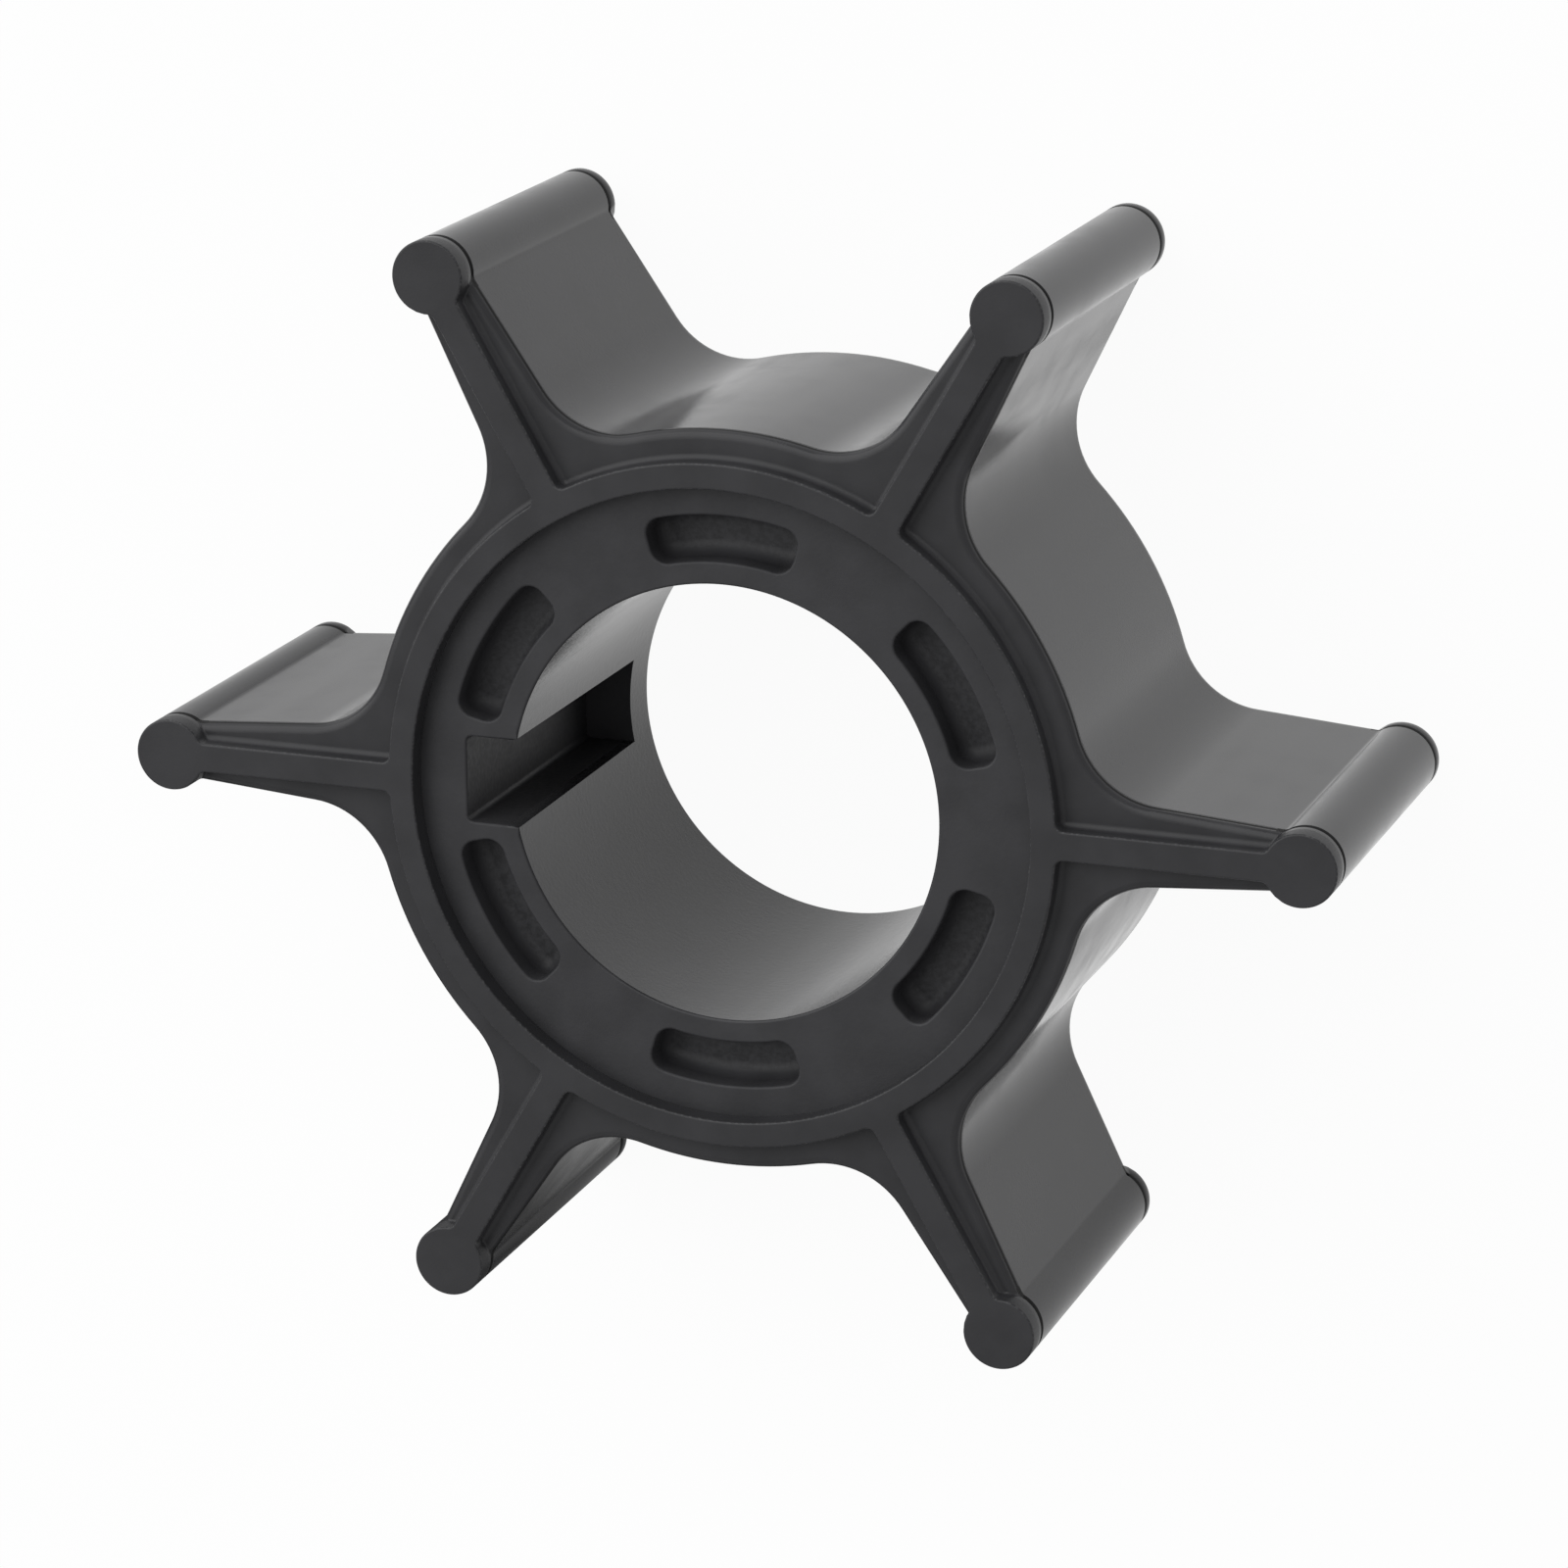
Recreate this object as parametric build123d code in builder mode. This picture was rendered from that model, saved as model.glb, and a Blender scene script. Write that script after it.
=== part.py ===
"""Flexible pump impeller: a rubber moulding with six vanes, bonded round a hard hub insert."""

import os
from math import asin, cos, degrees, radians, sin

from build123d import *

# All sizes are in millimetres and all angles in degrees. The shaft axis is Z. The impeller
# lies on its rear face, and the front face, with the pockets and the open end of the keyway,
# looks up.

overall_diameter = 68.0
overall_width = 22.0
vane_count = 6

# Hard insert
bore_radius = 12.1
insert_wall = 5.4
front_recess = 1.2
rear_recess = 0.8
insert_edge_radius = 0.15

keyway_angle = 180
keyway_width = 4.8
keyway_depth = 2.7
keyway_end_wall = 2.7
keyway_floor_rounding = 0.3
keyway_mouth_bevel = 0.3

pocket_count = 6
pocket_bore_wall = 1.25
pocket_keyway_wall = 0.76
pocket_width = 2.5
pocket_depth = 2.0
pocket_corner_radius = 0.9
pocket_floor_rounding = 0.3

# Rubber sleeve, vanes and tip bulbs
sleeve_wall = 2.95
vane_root_thickness = 4.85
vane_tip_thickness = 3.1
vane_root_radius = 4.8
bulb_radius = 2.0

# Raised ring and ribs, and the ledges that lie below them at both ends
ring_width = 1.4
tip_ledge_width = 0.75
front_ledge_depth = 1.0
front_shoulder_radius = 0.5
rear_ledge_depth = 0.6
rear_shoulder_radius = 0.3
foot_radius = 0.4
corner_allowance = 0.05
rubber_edge_radius = 0.12

# Places that follow from the sizes above
insert_radius = bore_radius + insert_wall
insert_top = overall_width - front_recess
keyway_end_height = rear_recess + keyway_end_wall
pocket_inner_radius = bore_radius + pocket_bore_wall
pocket_outer_radius = pocket_inner_radius + pocket_width
hub_radius = insert_radius + sleeve_wall
ring_radius = insert_radius + ring_width
bulb_centre_radius = overall_diameter / 2 - bulb_radius
front_ledge_height = overall_width - front_ledge_depth
rib_width = vane_tip_thickness - 2 * tip_ledge_width
rib_corner_radius = foot_radius + corner_allowance


def distance_from_axis(shape):
    """How far a corner, or the middle of an edge, lies from the shaft axis."""
    middle = shape.center()
    return Vector(middle.X, middle.Y).length


def top_face(shape):
    return shape.faces().sort_by(Axis.Z)[-1]


def bottom_face(shape):
    return shape.faces().sort_by(Axis.Z)[0]


def keyway_section(height):
    """Section of the keyway, from the shaft axis out to its flat floor."""
    with BuildSketch(Plane.XY.offset(height)) as keyway:
        with PolarLocations(0, 1, start_angle=keyway_angle):
            Rectangle(
                bore_radius + keyway_depth,
                keyway_width,
                align=(Align.MIN, Align.CENTER),
            )
        floor_corners = keyway.vertices().sort_by(distance_from_axis)[-2:]
        fillet(floor_corners, keyway_floor_rounding)
    return keyway.sketch


def pocket_sections(height):
    """Curved pockets, evenly spaced, with the keyway in the middle of one of the gaps."""
    half_gap = degrees(asin((keyway_width / 2 + pocket_keyway_wall) / pocket_inner_radius))
    half_span = 180 / pocket_count - half_gap
    with BuildSketch() as pocket:
        with BuildLine():
            for radius in (pocket_inner_radius, pocket_outer_radius):
                CenterArc((0, 0), radius, -half_span, 2 * half_span)
            for angle in (-half_span, half_span):
                end = Vector(cos(radians(angle)), sin(radians(angle)))
                Line(end * pocket_inner_radius, end * pocket_outer_radius)
        make_face()
        fillet(pocket.vertices(), pocket_corner_radius)
    first_angle = keyway_angle + 180 / pocket_count
    with BuildSketch(Plane.XY.offset(height)) as pockets:
        with PolarLocations(0, pocket_count, start_angle=first_angle):
            add(pocket.sketch)
    return pockets.sketch


def vane_thickness(radius):
    """Thickness of a vane's straight taper at a distance from the axis."""
    taper = (vane_root_thickness - vane_tip_thickness) / (bulb_centre_radius - hub_radius)
    return vane_root_thickness - taper * (radius - hub_radius)


def sleeve_and_vanes(height):
    """Outline of the sleeve and its tapered vanes, each blended into the sleeve at its root."""
    inner_half = vane_thickness(insert_radius) / 2
    tip_half = vane_tip_thickness / 2
    with BuildSketch(Plane.XY.offset(height)) as outline:
        Circle(hub_radius)
        with PolarLocations(0, vane_count):
            Polygon(
                (insert_radius, -inner_half),
                (bulb_centre_radius, -tip_half),
                (bulb_centre_radius, tip_half),
                (insert_radius, inner_half),
                align=None,
            )
        roots = outline.vertices().group_by(distance_from_axis)[0]
        fillet(roots, vane_root_radius)
        Circle(insert_radius, mode=Mode.SUBTRACT)
    return outline.sketch


def tip_bulbs(height):
    """The round section of the bulb that runs along the tip of each vane."""
    with BuildSketch(Plane.XY.offset(height)) as bulbs:
        with PolarLocations(bulb_centre_radius, vane_count):
            Circle(bulb_radius)
    return bulbs.sketch


def ring_and_ribs(height):
    """The ring round the insert and the rib along the middle of each vane, out to its bulb."""
    with BuildSketch(Plane.XY.offset(height)) as raised:
        Circle(ring_radius)
        with PolarLocations(0, vane_count):
            Rectangle(bulb_centre_radius, rib_width, align=(Align.MIN, Align.CENTER))
        with PolarLocations(bulb_centre_radius, vane_count):
            Circle(bulb_radius)
        inner_corners = raised.vertices().filter_by(
            lambda corner: distance_from_axis(corner) < bulb_centre_radius
        )
        fillet(inner_corners, rib_corner_radius)
        Circle(insert_radius, mode=Mode.SUBTRACT)
    return raised.sketch


# Hub insert: a hard moulded bush with a plain outside, to which the rubber is bonded
with BuildPart() as hub_insert:
    with BuildSketch(Plane.XY.offset(rear_recess)):
        Circle(insert_radius)
        Circle(bore_radius, mode=Mode.SUBTRACT)
    extrude(amount=insert_top - rear_recess)

    # Keyway, open at the front and closed by a wall at the rear, its mouth corners bevelled
    extrude(
        keyway_section(keyway_end_height),
        amount=insert_top - keyway_end_height,
        mode=Mode.SUBTRACT,
    )
    mouth_centre = Vector(bore_radius, 0, insert_top).rotate(Axis.Z, keyway_angle)
    mouth_corners = hub_insert.edges().filter_by(Axis.Z).sort_by_distance(mouth_centre)[:2]
    chamfer(mouth_corners, keyway_mouth_bevel)

    # Pockets in the front face, their floors rounded into their walls
    extrude(pocket_sections(insert_top), amount=-pocket_depth, mode=Mode.SUBTRACT)
    pocket_floors = hub_insert.faces().filter_by(
        lambda face: abs(face.center().Z - insert_top + pocket_depth) < 0.001
    )
    fillet(pocket_floors.edges(), pocket_floor_rounding)

    # Broken edges of the bore, keyway and pockets
    fillet(top_face(hub_insert).inner_wires().edges(), insert_edge_radius)
    fillet(bottom_face(hub_insert).inner_wires().edges(), insert_edge_radius)

# Rubber body: sleeve, vanes, tip bulbs, raised ring and ribs, all one moulding
with BuildPart() as rubber_body:
    extrude(sleeve_and_vanes(rear_ledge_depth), amount=front_ledge_height - rear_ledge_depth)
    fillet(top_face(rubber_body).outer_wire().edges(), front_shoulder_radius)
    fillet(bottom_face(rubber_body).outer_wire().edges(), rear_shoulder_radius)

    # The bulbs run the full width. They, the ring and the ribs blend into the vanes and ledges
    # with one small radius all round their foot
    extrude(tip_bulbs(0), amount=overall_width)
    extrude(ring_and_ribs(0), amount=rear_ledge_depth)
    extrude(ring_and_ribs(front_ledge_height), amount=front_ledge_depth)
    bulb_corners = (
        rubber_body.edges()
        .filter_by(Axis.Z)
        .filter_by(lambda edge: edge.length > overall_width / 2)
        .filter_by(lambda edge: hub_radius < distance_from_axis(edge) < bulb_centre_radius)
    )
    fillet(bulb_corners, foot_radius)

    # Broken edges of the ring, ribs and bulbs
    fillet(top_face(rubber_body).edges(), rubber_edge_radius)
    fillet(bottom_face(rubber_body).edges(), rubber_edge_radius)

os.makedirs("parts", exist_ok=True)
hub_insert.part.label = "hub_insert"
export_step(hub_insert.part, "parts/hub_insert.step")
rubber_body.part.label = "rubber_body"
export_step(rubber_body.part, "parts/rubber_body.step")
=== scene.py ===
from math import asin, atan2, cos, degrees, radians, sin, sqrt, tan

import bmesh
import bpy
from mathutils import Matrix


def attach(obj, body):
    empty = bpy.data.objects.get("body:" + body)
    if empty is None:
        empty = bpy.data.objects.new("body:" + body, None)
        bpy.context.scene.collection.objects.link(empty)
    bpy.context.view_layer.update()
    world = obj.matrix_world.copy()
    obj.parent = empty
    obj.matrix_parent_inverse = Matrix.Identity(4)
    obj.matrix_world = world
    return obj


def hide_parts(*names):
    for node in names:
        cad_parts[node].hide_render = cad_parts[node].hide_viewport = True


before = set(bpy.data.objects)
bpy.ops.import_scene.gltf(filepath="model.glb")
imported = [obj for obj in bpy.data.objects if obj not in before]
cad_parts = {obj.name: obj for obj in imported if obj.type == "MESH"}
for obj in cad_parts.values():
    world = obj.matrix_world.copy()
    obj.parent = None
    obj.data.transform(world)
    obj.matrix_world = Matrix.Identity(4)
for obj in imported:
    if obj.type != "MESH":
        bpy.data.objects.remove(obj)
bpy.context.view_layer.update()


# Hub insert. The hard black bush that grips the shaft: a plain moulded ring, 5.4 mm thick, with a
# keyway that is open at the front and closed at the rear, and six shallow coring pockets in its
# front face. Moulded in a glass-filled plastic, then set in the rubber tool and bonded in.

mm = 0.001


def start_outline(name, x, y, z):
    """Begins a piece as a single point, from which its outline is drawn in millimetres."""
    bpy.ops.object.select_all(action="DESELECT")
    bpy.ops.mesh.primitive_plane_add(size=mm, location=(0, 0, 0))
    piece = bpy.context.object
    piece.name = name
    bpy.ops.object.mode_set(mode="EDIT")
    bpy.ops.mesh.select_mode(type="VERT")
    bpy.ops.mesh.select_all(action="SELECT")
    bpy.ops.mesh.merge(type="CENTER")
    bpy.ops.transform.translate(value=(x * mm, y * mm, z * mm))
    return piece


def draw_arc(x, y, turn, steps):
    """Carries the outline on round a centre; a turn above zero is anticlockwise."""
    bpy.ops.mesh.spin(
        steps=steps, angle=radians(-turn), center=(x * mm, y * mm, 0), axis=(0, 0, 1)
    )


def draw_line(dx, dy):
    """Carries the outline straight on."""
    bpy.ops.mesh.extrude_region_move(TRANSFORM_OT_translate={"value": (dx * mm, dy * mm, 0)})


def merge_points(apart=0.005):
    """Merges all points that lie closer together than this."""
    bpy.ops.mesh.select_all(action="SELECT")
    bpy.ops.mesh.remove_doubles(threshold=apart * mm)


def raise_outline(height):
    """Closes the outline with a face and raises it to a solid."""
    merge_points()
    bpy.ops.mesh.edge_face_add()
    bpy.ops.mesh.extrude_region_move(TRANSFORM_OT_translate={"value": (0, 0, height * mm)})
    bpy.ops.mesh.select_all(action="SELECT")
    bpy.ops.mesh.normals_make_consistent(inside=False)


def repeat_six_times():
    """Sets six copies of all that is drawn evenly round the shaft axis."""
    bpy.ops.mesh.select_all(action="SELECT")
    bpy.ops.mesh.spin(steps=6, dupli=True, angle=radians(360), center=(0, 0, 0), axis=(0, 0, 1))
    merge_points()


def pick_edges(piece, wanted, least_turn=0):
    """Selects the edges that turn far enough and whose ends, in millimetres, pass a test."""
    bpy.ops.mesh.select_mode(type="EDGE")
    bpy.ops.mesh.select_all(action="DESELECT")
    mesh = bmesh.from_edit_mesh(piece.data)
    for edge in mesh.edges:
        turns = edge.calc_face_angle(0) >= radians(least_turn)
        if turns and wanted(edge.verts[0].co / mm, edge.verts[1].co / mm):
            edge.select_set(True)
    bmesh.update_edit_mesh(piece.data)


# Heights within a micron of each other count as one, and places this near count as together
micron, near = 0.001, 0.01


def stands(a, b):
    """Whether the edge between two points stands along the shaft axis."""
    return abs(a.z - b.z) > 1


def lies_at(a, b, *heights):
    """Whether the edge between two points lies level, at one of the heights."""
    return abs(a.z - b.z) < micron and min(abs(a.z - height) for height in heights) < micron


def round_off(radius, segments):
    """Rounds the picked edges."""
    bpy.ops.mesh.bevel(offset=radius * mm, segments=segments, clamp_overlap=False)


def make_active(piece):
    """Makes a piece the only one that is selected, for the operators that follow."""
    bpy.ops.object.select_all(action="DESELECT")
    piece.select_set(True)
    bpy.context.view_layer.objects.active = piece


def add_round_solid(radius, low, high):
    """Adds a solid cylinder on the shaft axis, from one height to another."""
    bpy.ops.object.select_all(action="DESELECT")
    bpy.ops.mesh.primitive_cylinder_add(
        vertices=180, radius=radius * mm, depth=(high - low) * mm,
        location=(0, 0, (high + low) / 2 * mm),
    )
    bpy.ops.object.transform_apply(location=True, rotation=True, scale=True)
    return bpy.context.object


def settle_order(piece):
    """Sorts a mesh by place: a cut leaves its points, edges and faces in an order that varies from
    run to run, and what is merged or rounded after it would vary with them."""

    def by_place(part):
        """A number for a part's place that it shares with no other part."""
        askew = (0.31, 0.59, 0.74)
        points = part.verts if hasattr(part, "verts") else [part]
        return sum(point.co.dot(askew) + point.co.x**2 for point in points)

    mesh = bmesh.new()
    mesh.from_mesh(piece.data)
    for parts in (mesh.verts, mesh.edges, mesh.faces):
        parts.sort(key=by_place)
    mesh.to_mesh(piece.data)
    mesh.free()


def cut_or_join(piece, other, operation):
    """Cuts another solid out of a piece, or joins it on, and does away with the other."""
    make_active(piece)
    work = piece.modifiers.new("work", "BOOLEAN")
    work.operation = operation
    work.solver = "EXACT"
    work.object = other
    bpy.ops.object.modifier_apply(modifier="work")
    bpy.data.objects.remove(other)
    settle_order(piece)


def smooth_to_edges(piece):
    """Smooth shading that keeps flat faces flat and the true edges crisp."""
    make_active(piece)
    bpy.ops.object.shade_smooth_by_angle(angle=radians(32))
    even = piece.modifiers.new("even", "WEIGHTED_NORMAL")
    even.keep_sharp = True
    bpy.ops.object.modifier_apply(modifier="even")


# The plain ring; cutters reach well clear of it at both ends
bush_foot, bush_top = 0.8, 20.8
bush_outside, bore = 17.5, 12.1
clear_below, clear_above = -10, 30
bush = add_round_solid(bush_outside, bush_foot, bush_top)
bush.name = "hub_bush"
cut_or_join(bush, add_round_solid(bore, clear_below, clear_above), "DIFFERENCE")

# The keyway, as a core that starts inside the bore, with its floor corners rounded
keyway_half, keyway_floor, keyway_end, keyway_corner = 2.4, 14.8, 3.5, 0.3
core_start, core_height = 8, 20
keyway = start_outline("keyway_core", -core_start, -keyway_half, keyway_end)
draw_line(core_start - keyway_floor, 0)
draw_line(0, 2 * keyway_half)
draw_line(keyway_floor - core_start, 0)
raise_outline(core_height)
pick_edges(keyway, lambda a, b: stands(a, b) and abs(a.x + keyway_floor) < near)
round_off(keyway_corner, segments=3)
bpy.ops.object.mode_set(mode="OBJECT")
cut_or_join(bush, keyway, "DIFFERENCE")

# One curved pocket core with rounded corners and a rounded floor, set out six times. The webs
# between the pockets are all as wide as the one that holds the keyway and its two walls
sixth = 60
pocket_inner, pocket_outer, pocket_floor = 13.35, 15.85, 18.8
keyway_wall, pocket_corner, pocket_foot, pocket_core_height = 0.76, 0.9, 0.8, 5
pocket_middle = sixth / 2
half_span = pocket_middle - degrees(asin((keyway_half + keyway_wall) / pocket_inner))
start_angle, end_angle = radians(pocket_middle - half_span), radians(pocket_middle + half_span)
end_facet = 5
pocket_arc = ((end_facet, 1), (2 * (half_span - end_facet), 12), (end_facet, 1))
pocket = start_outline(
    "pocket_cores", pocket_inner * cos(start_angle), pocket_inner * sin(start_angle), pocket_floor
)
for turn, steps in pocket_arc:
    draw_arc(0, 0, turn, steps)
pocket_width = pocket_outer - pocket_inner
draw_line(pocket_width * cos(end_angle), pocket_width * sin(end_angle))
for turn, steps in pocket_arc:
    draw_arc(0, 0, -turn, steps)
raise_outline(pocket_core_height)
pick_edges(
    pocket,
    lambda a, b: stands(a, b)
    and abs(abs(degrees(atan2(a.y, a.x)) - pocket_middle) - half_span) < near,
)
round_off(pocket_corner, segments=6)
pick_edges(pocket, lambda a, b: max(a.z, b.z) < pocket_floor + near)
round_off(pocket_foot, segments=5)
repeat_six_times()
bpy.ops.object.mode_set(mode="OBJECT")
cut_or_join(bush, pocket, "DIFFERENCE")

# The mouth of the keyway is bevelled, and every sharp edge round the bore and pockets is broken
sharp_turn = 30
mouth_bevel, bush_edge = 0.3, 0.15
mouth_x = -sqrt(bore**2 - keyway_half**2)
make_active(bush)
bpy.ops.object.mode_set(mode="EDIT")
pick_edges(
    bush,
    lambda a, b: stands(a, b) and abs(abs(a.y) - keyway_half) < near and abs(a.x - mouth_x) < near,
)
round_off(mouth_bevel, segments=1)
pick_edges(
    bush,
    lambda a, b: lies_at(a, b, bush_top, bush_foot)
    and max(a.xy.length, b.xy.length) < bush_outside - near,
    least_turn=sharp_turn,
)
round_off(bush_edge, segments=3)
merge_points(apart=0.002)
bpy.ops.object.mode_set(mode="OBJECT")
smooth_to_edges(bush)


def add_node(tree, kind, inputs=None, **settings):
    """Adds a node, with its settings, and links or sets its inputs."""
    node = tree.nodes.new("ShaderNode" + kind)
    for name, value in settings.items():
        setattr(node, name, value)
    for name, value in (inputs or {}).items():
        if isinstance(value, bpy.types.NodeSocket):
            tree.links.new(value, node.inputs[name])
        else:
            node.inputs[name].default_value = value
    return node


def spread(tree, value, low, high, start=0.0, end=1.0):
    """Runs from start to end while a value goes from low to high."""
    limits = {"Value": value, "From Min": low, "From Max": high, "To Min": start, "To Max": end}
    return add_node(tree, "MapRange", limits).outputs["Result"]


def work_out(tree, operation, *values):
    """One step of arithmetic on masks and numbers."""
    return add_node(tree, "Math", dict(enumerate(values)), operation=operation).outputs[0]


# What the tool leaves on a moulding: fine grain, cloudy patches, and streaks along the way it was
# pulled out
tool_marks = bpy.data.node_groups.new("tool_marks", "ShaderNodeTree")
tool_marks.interface.new_socket("Position", in_out="INPUT", socket_type="NodeSocketVector")
group_in = tool_marks.nodes.new("NodeGroupInput")
group_out = tool_marks.nodes.new("NodeGroupOutput")
long_in_z = (1, 1, 0.07)
drawn_out = add_node(
    tool_marks, "VectorMath", {0: group_in.outputs["Position"], 1: long_in_z},
    operation="MULTIPLY",
)
noise_low, noise_high = 0.35, 0.65
for mark, detail in (("Grain", 2), ("Patches", 3), ("Streaks", 4)):
    scale_name = mark + " Scale"
    tool_marks.interface.new_socket(scale_name, in_out="INPUT", socket_type="NodeSocketFloat")
    tool_marks.interface.new_socket(mark, in_out="OUTPUT", socket_type="NodeSocketFloat")
    place = drawn_out.outputs[0] if mark == "Streaks" else group_in.outputs["Position"]
    noise_inputs = {"Vector": place, "Scale": group_in.outputs[scale_name], "Detail": detail}
    noise = add_node(tool_marks, "TexNoise", noise_inputs)
    strength = spread(tool_marks, noise.outputs["Fac"], noise_low, noise_high)
    tool_marks.links.new(strength, group_out.inputs[mark])

# Where a point lies on the moulding: its height, its distance from the shaft axis, and whether it
# is on a flat end
places = bpy.data.node_groups.new("places", "ShaderNodeTree")
for name in ("Position", "Normal"):
    places.interface.new_socket(name, in_out="INPUT", socket_type="NodeSocketVector")
for name in ("Height", "From Axis", "Flat End"):
    places.interface.new_socket(name, in_out="OUTPUT", socket_type="NodeSocketFloat")
group_in = places.nodes.new("NodeGroupInput")
group_out = places.nodes.new("NodeGroupOutput")
place = add_node(places, "SeparateXYZ", {0: group_in.outputs["Position"]}).outputs
across = add_node(places, "CombineXYZ", {"X": place["X"], "Y": place["Y"]}).outputs[0]
from_axis = add_node(places, "VectorMath", {0: across}, operation="LENGTH").outputs["Value"]
facing = add_node(places, "SeparateXYZ", {0: group_in.outputs["Normal"]}).outputs
sloping, flat = 0.8, 0.98
flat_end = spread(places, work_out(places, "ABSOLUTE", facing["Z"]), sloping, flat)
for name, value in (("Height", place["Z"]), ("From Axis", from_axis), ("Flat End", flat_end)):
    places.links.new(value, group_out.inputs[name])


def start_finish(name, grain, patches, streaks):
    """Begins a moulded finish with both groups; the marks are given as so many to the metre."""
    finish = bpy.data.materials.new(name)
    finish.use_nodes = True
    tree = finish.node_tree
    point = tree.nodes.new("ShaderNodeTexCoord").outputs
    marks = add_node(tree, "Group", node_tree=tool_marks)
    tree.links.new(point["Object"], marks.inputs["Position"])
    for mark, scale in (("Grain", grain), ("Patches", patches), ("Streaks", streaks)):
        marks.inputs[mark + " Scale"].default_value = scale
    where = add_node(tree, "Group", node_tree=places)
    tree.links.new(point["Object"], where.inputs["Position"])
    tree.links.new(point["Normal"], where.inputs["Normal"])
    return finish, tree, marks.outputs, where.outputs


def dress(piece, finish, marks, colour, roughness, relief_depth):
    """Leads a finish to its shader, adds a fine relief, and gives it to a piece."""
    tree = finish.node_tree
    shader = tree.nodes["Principled BSDF"]
    shader.inputs["IOR"].default_value = 1.37
    faint = 0.2
    relief = work_out(tree, "MULTIPLY_ADD", marks["Streaks"], faint, marks["Grain"])
    bump_inputs = {"Strength": 1, "Distance": relief_depth * mm, "Height": relief}
    bump = add_node(tree, "Bump", bump_inputs).outputs["Normal"]
    for socket, value in (("Base Color", colour), ("Roughness", roughness), ("Normal", bump)):
        tree.links.new(value, shader.inputs[socket])
    piece.data.materials.clear()
    piece.data.materials.append(finish)


def shade_by(tree, mask, dark, light):
    """A cool black that runs from dark to light, as grey levels, with a mask."""
    more_blue = 1.08
    ramp = add_node(tree, "ValToRGB", {"Fac": mask})
    for stop, level in zip(ramp.color_ramp.elements, (dark, light)):
        stop.color = (level, level, level * more_blue, 1)
    return ramp.outputs["Color"]


def blend_colours(tree, mask, under, over):
    """Lays one colour over another by a mask; 6 and 7 are the Mix node's colour sockets."""
    blend = add_node(tree, "Mix", {0: mask, 6: under, 7: over}, data_type="RGBA")
    return blend.outputs[2]


# Satin bore, duller faces and pockets, and the coarser grain of the pocket floors
bore_skin, floor_skin = 0.6, 0.15
plastic, tree, marks, where = start_finish("black_plastic", grain=3800, patches=420, streaks=600)
off_the_bore = work_out(tree, "GREATER_THAN", where["From Axis"], (bore + bore_skin) * mm)
floors = work_out(
    tree, "MULTIPLY", off_the_bore,
    work_out(tree, "COMPARE", where["Height"], pocket_floor * mm, floor_skin * mm),
)
colour = blend_colours(
    tree, floors,
    shade_by(tree, marks["Patches"], dark=0.033, light=0.041),
    shade_by(tree, marks["Grain"], dark=0.027, light=0.044),
)
matt = work_out(tree, "MAXIMUM", where["Flat End"], off_the_bore)
satin_roughness = spread(tree, marks["Streaks"], 0, 1, start=0.14, end=0.20)
matt_roughness = spread(tree, marks["Grain"], 0, 1, start=0.48, end=0.56)
roughness = spread(tree, matt, 0, 1, start=satin_roughness, end=matt_roughness)
dress(bush, plastic, marks, colour, roughness, relief_depth=0.003)

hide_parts("hub_insert")
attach(bush, "root")


# Rubber body. Sleeve, six vanes with a bulb along each tip, and the raised ring and ribs at both
# ends: one black rubber moulding, bonded round the hub insert. The tool left a fine parting line
# round the vanes and bulbs below the front shoulder, and one near the rear end of each bulb.

sleeve, root_curve, bulb_centre, bulb = 20.45, 4.8, 32.0, 2.0
root_thickness, tip_thickness = 4.85, 3.1
ledge_rear, ledge_front, face_front = 0.6, 21.0, 22.0
rear_shoulder, front_shoulder = 0.3, 0.5
between_vanes = sixth / 2


def mirror_and_repeat():
    """Mirrors half a vane's outline and sets the whole vane out six times."""
    bpy.ops.mesh.select_all(action="SELECT")
    bpy.ops.mesh.duplicate()
    bpy.ops.transform.resize(value=(1, -1, 1), center_override=(0, 0, 0))
    repeat_six_times()


def pick_points(piece, wanted):
    """Selects the points whose place, in millimetres, passes a test."""
    bpy.ops.mesh.select_mode(type="VERT")
    bpy.ops.mesh.select_all(action="DESELECT")
    mesh = bmesh.from_edit_mesh(piece.data)
    for point in mesh.verts:
        if wanted(point.co / mm):
            point.select_set(True)
    bmesh.update_edit_mesh(piece.data)


# Where the curve at a vane's root touches the sleeve and the tapering vane
tip_half = tip_thickness / 2
taper = (root_thickness - tip_thickness) / (bulb_centre - sleeve) / 2
lean = sqrt(1 + taper**2)
level = tip_half + bulb_centre * taper + root_curve * lean
half_sum = level * taper / lean**2
root_x = half_sum + sqrt(half_sum**2 - (level**2 - (sleeve + root_curve) ** 2) / lean**2)
root_y = level - taper * root_x
root_angle = degrees(atan2(root_y, root_x))
touch_x = root_x - root_curve * taper / lean
touch_y = root_y - root_curve / lean

body = start_outline(
    "rubber_impeller",
    sleeve * cos(radians(between_vanes)), sleeve * sin(radians(between_vanes)), ledge_rear,
)
draw_arc(0, 0, root_angle - between_vanes, steps=8)
draw_arc(root_x, root_y, 90 - degrees(atan2(taper, 1)) - root_angle, steps=16)
draw_line(bulb_centre - touch_x, tip_half - touch_y)
draw_line(0, -tip_half)
mirror_and_repeat()
raise_outline(ledge_front - ledge_rear)

# Rounded shoulders at both ends
pick_edges(body, lambda a, b: min(a.z, b.z) > ledge_front - near)
round_off(front_shoulder, segments=5)
pick_edges(body, lambda a, b: max(a.z, b.z) < ledge_rear + near)
round_off(rear_shoulder, segments=4)
bpy.ops.object.mode_set(mode="OBJECT")

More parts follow.
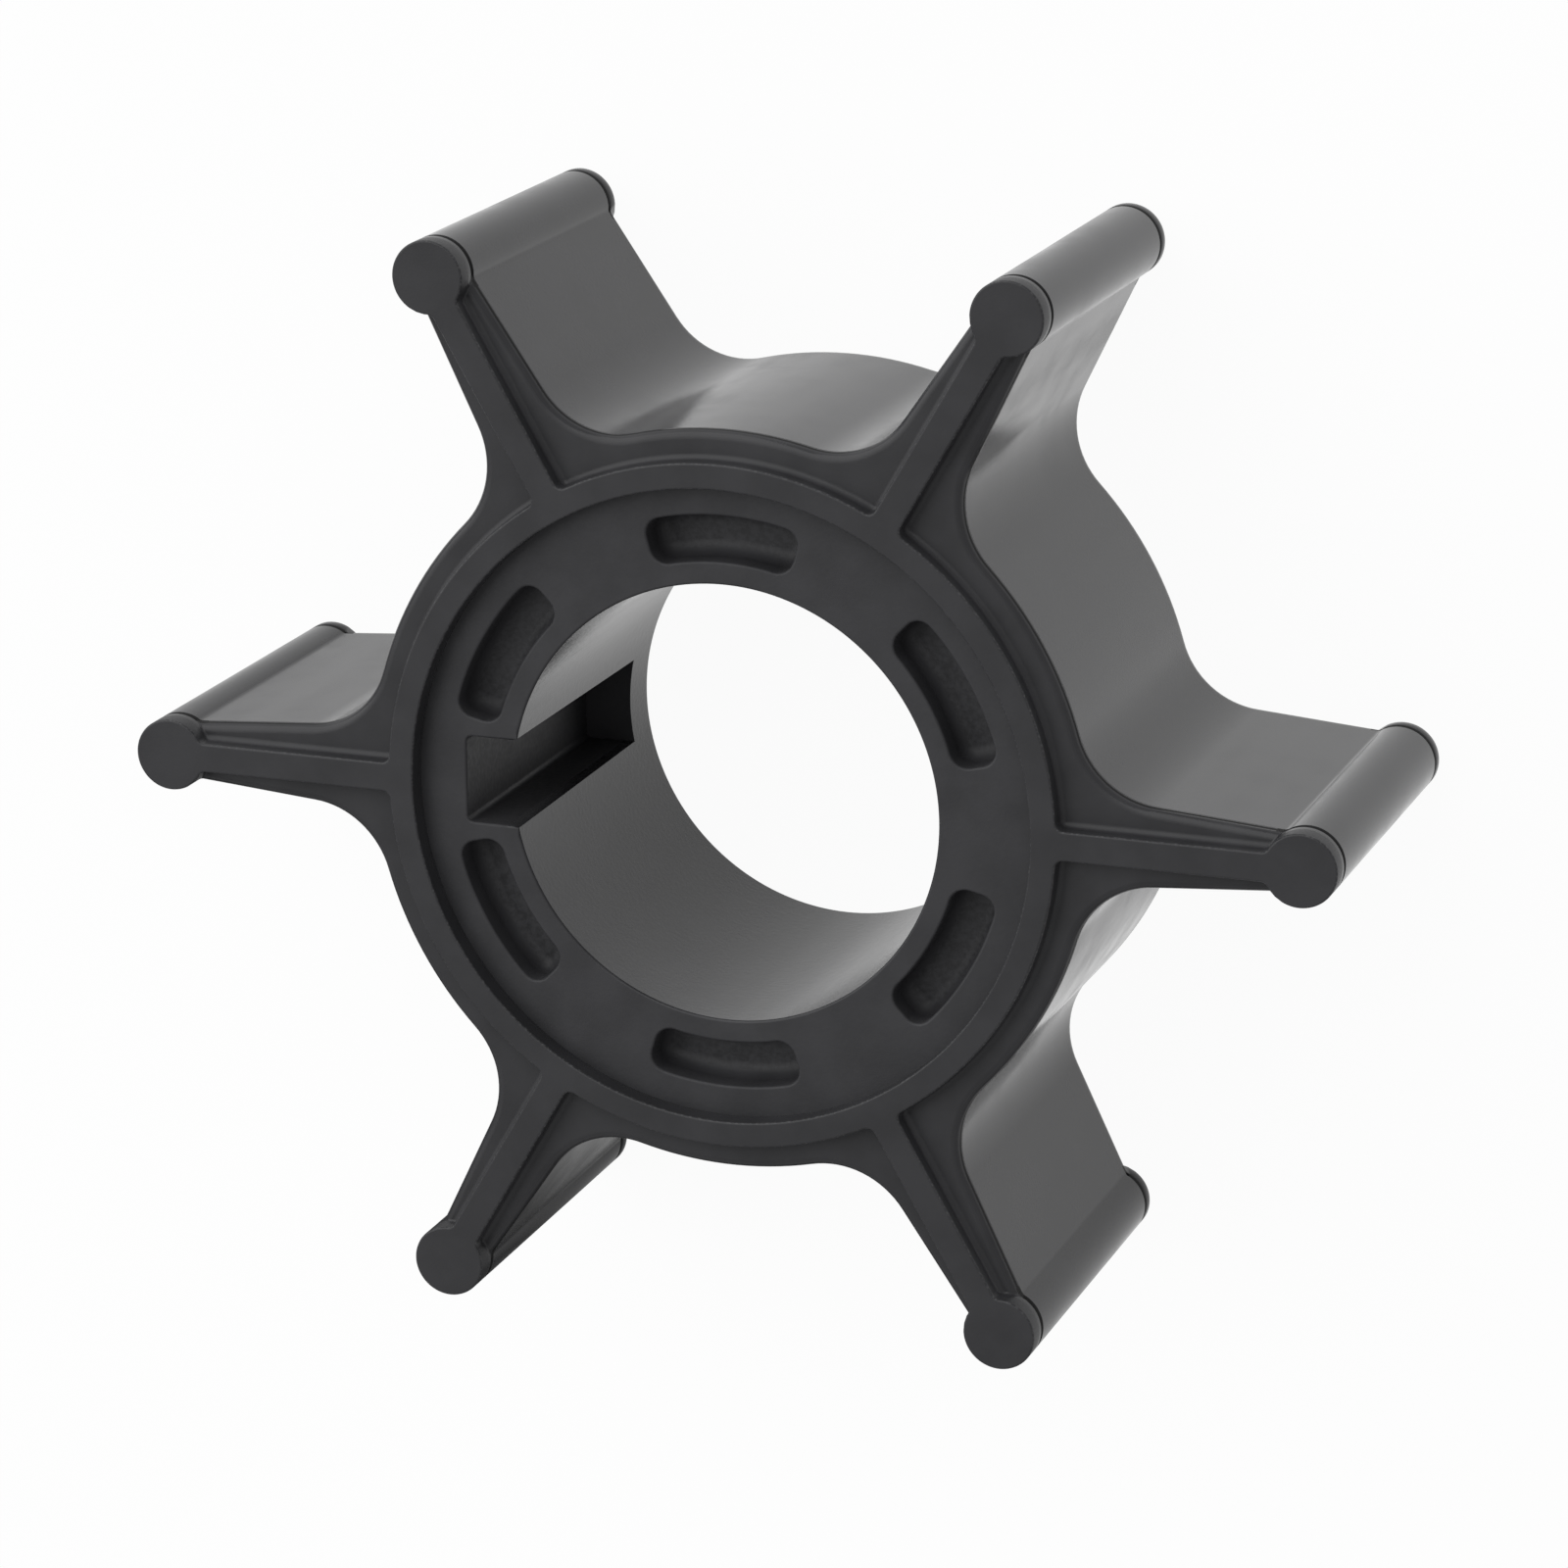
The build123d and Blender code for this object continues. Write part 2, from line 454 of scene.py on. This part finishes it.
# The ring, ribs and bulbs, full width, joined on. A bulb's circle needs few facets inside the vane
# and at the crease beside it
ring, rib_half = 18.9, 0.8
ring_corner = asin(rib_half / ring)
bulb_corner = asin(rib_half / bulb)
bulb_start = bulb_centre - bulb * cos(bulb_corner)
inside_turn, crease_turn = 36, 26
raised = start_outline(
    "ring_ribs_and_bulbs",
    ring * cos(radians(between_vanes)), ring * sin(radians(between_vanes)), 0,
)
draw_arc(0, 0, degrees(ring_corner) - between_vanes, steps=14)
draw_line(bulb_start - ring * cos(ring_corner), 0)
draw_arc(bulb_centre, 0, degrees(bulb_corner) - inside_turn, steps=1)
draw_arc(bulb_centre, 0, -crease_turn, steps=2)
draw_arc(bulb_centre, 0, inside_turn + crease_turn - 180, steps=30)
mirror_and_repeat()
raise_outline(face_front)
bpy.ops.object.mode_set(mode="OBJECT")
cut_or_join(body, raised, "UNION")

# A small radius all round their foot, and in the corners between them. Where the shoulders run
# into the bulbs the points are crowded, and are merged first
corner_radius, foot_radius, bulb_foot = 0.45, 0.34, 0.143
crease_inner, crease_outer, crowded = 30.3, 31.2, 0.035


def by_a_crease(place):
    """Whether a point is on a shoulder, beside the crease between vane and bulb."""
    at_rear = abs(place.z - ledge_rear) < rear_shoulder + near
    at_front = abs(place.z - ledge_front) < front_shoulder + near
    return (at_rear or at_front) and crease_inner < place.xy.length < crease_outer


make_active(body)
bpy.ops.object.mode_set(mode="EDIT")
pick_points(body, by_a_crease)
bpy.ops.mesh.remove_doubles(threshold=crowded * mm)
mesh = bmesh.from_edit_mesh(body.data)
weight = mesh.edges.layers.float.new("bevel_weight_edge")
for edge in mesh.edges:
    if edge.calc_face_angle_signed(0) < -radians(sharp_turn):
        one, two = edge.verts[0].co / mm, edge.verts[1].co / mm
        height = (one.z + two.z) / 2
        if (one - two).xy.length < near and not ledge_rear < height < ledge_front:
            size = corner_radius * tan(edge.calc_face_angle() / 2)
        elif (one + two).xy.length / 2 > bulb_start:
            size = bulb_foot
        else:
            size = foot_radius
        edge[weight] = size / corner_radius
bmesh.update_edit_mesh(body.data)
bpy.ops.object.mode_set(mode="OBJECT")
foot = body.modifiers.new("foot", "BEVEL")
foot.limit_method = "WEIGHT"
foot.width = corner_radius * mm
foot.segments = 4
foot.use_clamp_overlap = False
bpy.ops.object.modifier_apply(modifier="foot")

# Broken edges of the two ends, the seat for the insert, and its own broken edges
broken_edge = 0.12
bpy.ops.object.mode_set(mode="EDIT")
pick_edges(body, lambda a, b: lies_at(a, b, 0, face_front))
round_off(broken_edge, segments=3)
bpy.ops.object.mode_set(mode="OBJECT")
cut_or_join(body, add_round_solid(bush_outside, clear_below, clear_above), "DIFFERENCE")
make_active(body)
bpy.ops.object.mode_set(mode="EDIT")
pick_edges(
    body,
    lambda a, b: lies_at(a, b, 0, face_front)
    and max(a.xy.length, b.xy.length) < bush_outside + near,
)
round_off(broken_edge, segments=3)

# The parting lines, as fine grooves: the middle one of three cuts round the piece is pushed in,
# and pushed in again on the bulbs. The rear line shows on the bulbs alone
front_parting, rear_parting, parting_half = 20.5, 0.9, 0.2
all_round, bulbs_only = (False, 0.09), (True, 0.06)


def on_a_bulb(place):
    """Whether a point is on the round skin of one of the six bulbs."""
    turn = round(degrees(atan2(place.y, place.x)) / sixth) * radians(sixth)
    from_centre = sqrt(
        (place.x - bulb_centre * cos(turn)) ** 2 + (place.y - bulb_centre * sin(turn)) ** 2
    )
    under, over = 0.1, 0.02
    return bulb - under < from_centre < bulb + over


for height, pushes in (
    (front_parting, (all_round, bulbs_only)), (rear_parting, (bulbs_only, bulbs_only))
):
    for offset in (-parting_half, 0, parting_half):
        bpy.ops.mesh.select_all(action="SELECT")
        bpy.ops.mesh.bisect(
            plane_co=(0, 0, (height + offset) * mm), plane_no=(0, 0, 1),
            threshold=micron / 10 * mm,
        )
    for only_bulbs, depth in pushes:
        pick_points(
            body,
            lambda place: abs(place.z - height) < micron / 2 and place.xy.length > ring
            and (on_a_bulb(place) or not only_bulbs),
        )
        bpy.ops.transform.shrink_fatten(value=-depth * mm)
merge_points(apart=0.004)
bpy.ops.object.mode_set(mode="OBJECT")
smooth_to_edges(body)


def beyond_heights(tree, height, low, high):
    """Whether a height is below the low one or above the high one."""
    from_middle = work_out(tree, "SUBTRACT", height, (high + low) / 2 * mm)
    distance = work_out(tree, "ABSOLUTE", from_middle)
    return work_out(tree, "GREATER_THAN", distance, (high - low) / 2 * mm)


# Polished tool walls left the flanks satin, and a little duller beyond the parting lines. Above
# the front ledge and on the flat ends the rubber is matt. The parting grooves are dull, and darker
# by painted shade; the broken edges of both ends are painted paler in speckles, as wear and a
# painted edge highlight
groove_painted_shade, wear_and_highlight_colour = (0.006, 0.006, 0.0063, 1), (0.08, 0.08, 0.083, 1)
bulbs_from, vane_groove, bulb_groove = 30.4, 0.13, 0.18
ledge_skin, end_skin = 0.03, broken_edge + near
ledge_share, beyond_share, groove_roughness = 0.6, 0.15, 0.6
rubber, tree, marks, where = start_finish("black_rubber", grain=6600, patches=330, streaks=420)
on_bulbs = work_out(tree, "GREATER_THAN", where["From Axis"], bulbs_from * mm)
dull_half = spread(tree, on_bulbs, 0, 1, start=vane_groove * mm, end=bulb_groove * mm)
parting = work_out(
    tree, "MAXIMUM",
    work_out(tree, "COMPARE", where["Height"], front_parting * mm, dull_half),
    work_out(
        tree, "MULTIPLY", on_bulbs,
        work_out(tree, "COMPARE", where["Height"], rear_parting * mm, dull_half),
    ),
)
beyond = beyond_heights(
    tree, where["Height"], rear_parting - bulb_groove, front_parting + bulb_groove
)
above_ledge = work_out(tree, "GREATER_THAN", where["Height"], (ledge_front + ledge_skin) * mm)
near_an_end = beyond_heights(tree, where["Height"], end_skin, face_front - end_skin)
slanting = spread(tree, where["Flat End"], 0, 1, start=1, end=0)
broken = work_out(tree, "MULTIPLY", near_an_end, slanting)
# Pale speckles on the broken edges of both ends: wear, and a painted highlight along the edges
worn_and_highlit = work_out(tree, "MULTIPLY", broken, spread(tree, marks["Grain"], 0.5, 1, start=0, end=0.8))
colour = shade_by(tree, marks["Patches"], dark=0.030, light=0.038)
# Painted shade: the parting grooves are darkened in colour, as the shadow in a groove would darken
# them
colour = blend_colours(tree, parting, colour, groove_painted_shade)
colour = blend_colours(tree, worn_and_highlit, colour, wear_and_highlight_colour)
duller = work_out(tree, "MULTIPLY", beyond, beyond_share)
matt = work_out(tree, "MULTIPLY_ADD", above_ledge, ledge_share, duller)
matt = work_out(tree, "MAXIMUM", where["Flat End"], matt)
cloudiness = work_out(tree, "MULTIPLY_ADD", marks["Streaks"], 0.8, marks["Patches"])
satin_roughness = spread(tree, cloudiness, 0.2, 1.6, start=0.12, end=0.24)
matt_roughness = spread(tree, marks["Grain"], 0, 1, start=0.44, end=0.50)
roughness = spread(tree, matt, 0, 1, start=satin_roughness, end=matt_roughness)
dull = work_out(tree, "MULTIPLY", parting, groove_roughness)
roughness = work_out(tree, "MAXIMUM", roughness, dull)
dress(body, rubber, marks, colour, roughness, relief_depth=0.0015)

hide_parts("rubber_body")
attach(body, "root")


# Floor. A pale sheet: plain white to the camera, with the part's faint shadow, and white in the
# gloss of the rubber too, where a painted shade darkens it towards the near left corner.
bpy.ops.object.select_all(action="DESELECT")
bpy.ops.mesh.primitive_plane_add(size=3, location=(0, 0, 0))
floor = bpy.context.object
floor.name = "floor"
paper = bpy.data.materials.new("white_paper")
paper.use_nodes = True
tree = paper.node_tree
tree.nodes.clear()
seen_by = tree.nodes.new("ShaderNodeLightPath").outputs
place = tree.nodes.new("ShaderNodeTexCoord").outputs["Object"]
far_right = (0.6, 1, 0)
towards_back = add_node(
    tree, "VectorMath", {0: place, 1: far_right}, operation="DOT_PRODUCT"
).outputs["Value"]
# Painted shade: seen in the gloss of the rubber, the floor's glow grows darker towards the near
# left corner
painted_fall_off = work_out(
    tree, "MULTIPLY",
    spread(tree, towards_back, -42 * mm, -5 * mm, start=0.5, end=1),
    spread(tree, towards_back, -46 * mm, -32 * mm, start=0.1, end=1),
)
brightness = work_out(tree, "MAXIMUM", seen_by["Is Camera Ray"], painted_fall_off)
seen_plainly = work_out(tree, "MAXIMUM", seen_by["Is Camera Ray"], seen_by["Is Glossy Ray"])
plain_share = work_out(tree, "MULTIPLY", seen_plainly, 0.95)
lit = add_node(tree, "BsdfDiffuse", {"Color": (0.9, 0.9, 0.9, 1)})
plain = add_node(tree, "Emission", {"Color": (1, 1, 1, 1), "Strength": brightness})
sheet = add_node(
    tree, "MixShader", {0: plain_share, 1: lit.outputs["BSDF"], 2: plain.outputs["Emission"]}
)
add_node(tree, "OutputMaterial", {"Surface": sheet.outputs["Shader"]})
floor.data.materials.append(paper)


# Light. Even white light all round, and one large soft lamp, above and behind to the left, which
# brings out the round shapes and gives the part its faint shadow.
world = bpy.data.worlds.new("studio")
bpy.context.scene.world = world
world.use_nodes = True
world.node_tree.nodes["Background"].inputs["Color"].default_value = (1, 1, 1, 1)
world.node_tree.nodes["Background"].inputs["Strength"].default_value = 0.45

bpy.ops.object.light_add(type="AREA", location=(-0.5, 0.5, 0.6))
lamp = bpy.context.object
lamp.name = "soft_lamp"
lamp.data.size = 1.4
lamp.data.energy = 9
lamp.rotation_euler = lamp.location.to_track_quat("Z", "Y").to_euler()


# Camera. It looks down on the front face from the upper right, through a long lens, so that the
# part fills the picture and its far side looks hardly smaller than its near one.
bpy.ops.object.camera_add(
    location=(0.1012, 0.0874, 0.2887),
    rotation=(radians(-16.8408), radians(19.975), radians(-0.2343)),
)
camera = bpy.context.object
camera.data.lens = 129.05
camera.data.sensor_width = 36
bpy.context.scene.camera = camera
bpy.context.scene.view_settings.view_transform = "Standard"
